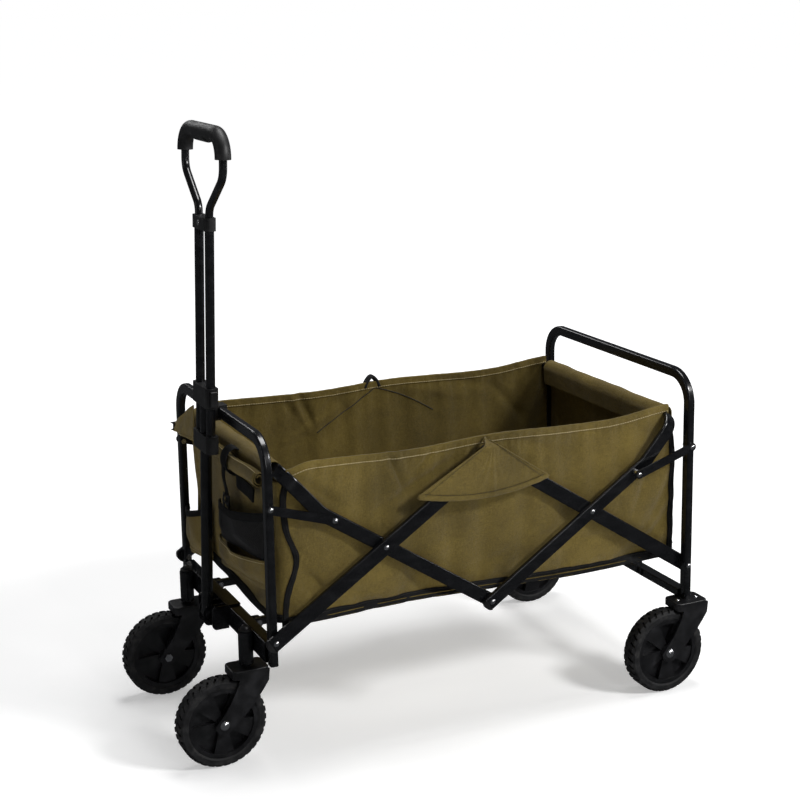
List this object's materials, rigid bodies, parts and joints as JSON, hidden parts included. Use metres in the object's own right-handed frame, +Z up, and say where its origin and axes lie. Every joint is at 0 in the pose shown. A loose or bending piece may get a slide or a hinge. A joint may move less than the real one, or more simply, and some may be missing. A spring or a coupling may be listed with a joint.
{
  "type": "folding camp wagon",
  "caption": "Folding fabric wagon on a black tube frame with side scissors, four wheels, swivel front casters and a telescopic pull handle.",
  "frame": {"origin": "bottom centre of the whole object's box, on the floor it stands on", "axes": "-X towards the handle end, +Z up, Y across the wagon"},
  "size_m": [0.9826, 0.551, 1.062],
  "materials": {
    "frame_paint": "gloss black powder coat",
    "chrome_fasteners": "bright plated rivets and bolts",
    "black_plastic": "moulded black plastic",
    "fork_plastic": "satin moulded black plastic",
    "wheel_plastic": "satin moulded black plastic",
    "tyre": "hard rubber tread",
    "grip_rubber": "soft moulded grip",
    "basket_fabric": "olive brown coated woven polyester"
  },
  "bodies": {
    "front_end": {"front_frame": "frame_paint", "front_crossbar": "frame_paint", "front_leg_plugs": "black_plastic", "caster_sleeves": "frame_paint", "front_leg_rivets": "chrome_fasteners", "handle_bracket": "frame_paint", "handle_pivot_bolt": "chrome_fasteners", "handle_clip": "black_plastic", "basket_front": "basket_fabric", "basket_side_left": "basket_fabric", "basket_side_right": "basket_fabric", "basket_floor": "basket_fabric"},
    "outer_scissor": {"outer_levers": "frame_paint", "outer_lever_bushes": "black_plastic", "outer_lever_rivets": "chrome_fasteners"},
    "front_hoop": {"front_hoop": "frame_paint", "front_hoop_plugs": "black_plastic"},
    "inner_scissor": {"inner_levers": "frame_paint", "inner_lever_bushes": "black_plastic", "inner_lever_rivets": "chrome_fasteners"},
    "rear_hoop": {"rear_hoop": "frame_paint", "rear_hoop_bushes": "black_plastic", "bottom_pivot_rivets": "chrome_fasteners"},
    "rear_end": {"rear_frame": "frame_paint", "rear_crossbar": "frame_paint", "rear_leg_rivets": "chrome_fasteners", "rear_forks": "fork_plastic", "rear_axles": "chrome_fasteners", "rear_fork_screws": "chrome_fasteners", "basket_rear": "basket_fabric"},
    "front_links": {"front_links": "frame_paint", "front_link_studs": "chrome_fasteners"},
    "rear_links": {"rear_links": "frame_paint", "rear_link_studs": "chrome_fasteners"},
    "front_rails": {"front_floor_rails": "frame_paint"},
    "rear_rails": {"rear_floor_rails": "frame_paint"},
    "pole": {"handle_pole": "frame_paint", "pole_guide": "black_plastic"},
    "twin_tubes": {"twin_tubes": "frame_paint", "handle_slider": "black_plastic", "handle_collar": "black_plastic"},
    "grip_loop": {"grip_loop": "frame_paint", "grip": "grip_rubber"},
    "collar_button": {"collar_button": "chrome_fasteners"},
    "release_key": {"release_key": "black_plastic"},
    "caster_left": {"caster_fork_left": "fork_plastic", "caster_cap_left": "black_plastic", "front_axle_left": "chrome_fasteners"},
    "front_wheel_left": {"front_rim_left": "wheel_plastic", "front_tyre_left": "tyre"},
    "rear_wheel_left": {"rear_rim_left": "wheel_plastic", "rear_tyre_left": "tyre"},
    "caster_right": {"caster_fork_right": "fork_plastic", "caster_cap_right": "black_plastic", "front_axle_right": "chrome_fasteners"},
    "front_wheel_right": {"front_rim_right": "wheel_plastic", "front_tyre_right": "tyre"},
    "rear_wheel_right": {"rear_rim_right": "wheel_plastic", "rear_tyre_right": "tyre"}
  },
  "joints": [
    {"name": "fold", "type": "hinge", "parent": "front_end", "child": "outer_scissor", "pos_m": [-0.34175, 0, 0.232], "axis": [0, -1, 0], "range_deg": [0, 46.58], "deforming": ["basket_side_left", "basket_side_right", "basket_floor"]},
    {"name": "front_hoop_turn", "type": "hinge", "parent": "outer_scissor", "child": "front_hoop", "pos_m": [-0.14175, 0, 0.364], "axis": [0, -1, 0], "range_deg": [-93.16, 0]},
    {"name": "inner_scissor_turn", "type": "hinge", "parent": "outer_scissor", "child": "inner_scissor", "pos_m": [0.05825, 0, 0.496], "axis": [0, -1, 0], "range_deg": [-93.16, 0]},
    {"name": "rear_hoop_turn", "type": "hinge", "parent": "inner_scissor", "child": "rear_hoop", "pos_m": [0.25825, 0, 0.364], "axis": [0, -1, 0], "range_deg": [0, 93.16]},
    {"name": "rear_end_turn", "type": "hinge", "parent": "inner_scissor", "child": "rear_end", "pos_m": [0.45825, 0, 0.232], "axis": [0, -1, 0], "range_deg": [0, 46.59]},
    {"name": "front_link_turn", "type": "hinge", "parent": "front_end", "child": "front_links", "pos_m": [-0.34175, 0, 0.458], "axis": [0, -1, 0], "range_deg": [0, 96.25]},
    {"name": "rear_link_turn", "type": "hinge", "parent": "rear_end", "child": "rear_links", "pos_m": [0.45825, 0, 0.458], "axis": [0, -1, 0], "range_deg": [-96.25, 0]},
    {"name": "front_rail_turn", "type": "hinge", "parent": "front_end", "child": "front_rails", "pos_m": [-0.32175, 0, 0.216], "axis": [0, -1, 0], "range_deg": [0, 80.43]},
    {"name": "rear_rail_turn", "type": "hinge", "parent": "rear_end", "child": "rear_rails", "pos_m": [0.43825, 0, 0.216], "axis": [0, -1, 0], "range_deg": [-80.43, 0]},
    {"name": "caster_swivel_left", "type": "hinge", "parent": "front_end", "child": "caster_left", "pos_m": [-0.36525, 0.158, 0.168], "axis": [0, 0, 1], "continuous": true},
    {"name": "front_wheel_spin_left", "type": "hinge", "parent": "caster_left", "child": "front_wheel_left", "pos_m": [-0.41425, 0.158, 0.077], "axis": [0, -1, 0], "continuous": true},
    {"name": "rear_wheel_spin_left", "type": "hinge", "parent": "rear_end", "child": "rear_wheel_left", "pos_m": [0.41025, 0.247, 0.077], "axis": [0, -1, 0], "continuous": true},
    {"name": "caster_swivel_right", "type": "hinge", "parent": "front_end", "child": "caster_right", "pos_m": [-0.36525, -0.158, 0.168], "axis": [0, 0, 1], "continuous": true},
    {"name": "front_wheel_spin_right", "type": "hinge", "parent": "caster_right", "child": "front_wheel_right", "pos_m": [-0.41425, -0.158, 0.077], "axis": [0, -1, 0], "continuous": true},
    {"name": "rear_wheel_spin_right", "type": "hinge", "parent": "rear_end", "child": "rear_wheel_right", "pos_m": [0.41025, -0.247, 0.077], "axis": [0, -1, 0], "continuous": true},
    {"name": "handle_tilt", "type": "hinge", "parent": "front_end", "child": "pole", "pos_m": [-0.37875, 0, 0.206], "axis": [0, -1, 0], "range_deg": [0, 92]},
    {"name": "handle_slide", "type": "slide", "parent": "pole", "child": "twin_tubes", "axis": [-0.0332, 0, -0.9995], "range_m": [0, 0.245]},
    {"name": "grip_slide", "type": "slide", "parent": "twin_tubes", "child": "grip_loop", "axis": [0.0332, 0, 0.9995], "range_m": [0, 0.17]},
    {"name": "collar_button_press", "type": "slide", "parent": "twin_tubes", "child": "collar_button", "axis": [0.9995, 0, -0.0332], "range_m": [0, 0.003], "stiffness_N_per_m": 600},
    {"name": "release_key_press", "type": "slide", "parent": "pole", "child": "release_key", "axis": [0, 1, 0], "range_m": [0, 0.0025], "stiffness_N_per_m": 600}
  ],
  "couplings": [
    {"joint": "front_hoop_turn", "follows": "fold", "ratio": -2},
    {"joint": "inner_scissor_turn", "follows": "fold", "ratio": -2},
    {"joint": "rear_hoop_turn", "follows": "fold", "ratio": 2},
    {"joint": "rear_end_turn", "follows": "fold", "ratio": 1},
    {"joint": "front_link_turn", "follows": "fold", "ratio": 2.0663},
    {"joint": "rear_link_turn", "follows": "fold", "ratio": -2.0663},
    {"joint": "front_rail_turn", "follows": "fold", "ratio": 1.7267},
    {"joint": "rear_rail_turn", "follows": "fold", "ratio": -1.7267}
  ]
}
